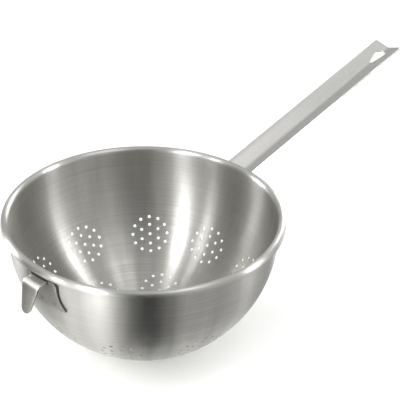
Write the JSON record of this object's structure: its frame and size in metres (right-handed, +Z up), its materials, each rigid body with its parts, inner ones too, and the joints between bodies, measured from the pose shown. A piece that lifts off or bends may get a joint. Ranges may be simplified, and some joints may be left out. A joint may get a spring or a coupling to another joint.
{
  "type": "colander with long handle",
  "caption": "Half-round stainless steel colander with clusters of round holes, a rolled rim, a long gutter handle with a hanging hole, and a rest hook opposite.",
  "frame": {"origin": "middle of the flat base that the bowl stands on, on the bowl's axis", "axes": "+Z up along the bowl's axis, +X towards the handle, the hook at -X, the plane Y = 0 through the middle of both"},
  "size_m": [0.5062, 0.252, 0.1793],
  "materials": {
    "bowl_steel": "brushed round the bowl",
    "handle_steel": "fine brushed along the handle",
    "hook_steel": "satin",
    "weld_steel": "dull weld metal"
  },
  "bodies": {
    "root": {"bowl": "bowl_steel", "handle": "handle_steel", "hook": "hook_steel", "handle_spot_welds": "weld_steel", "hook_spot_welds": "weld_steel"}
  },
  "joints": []
}
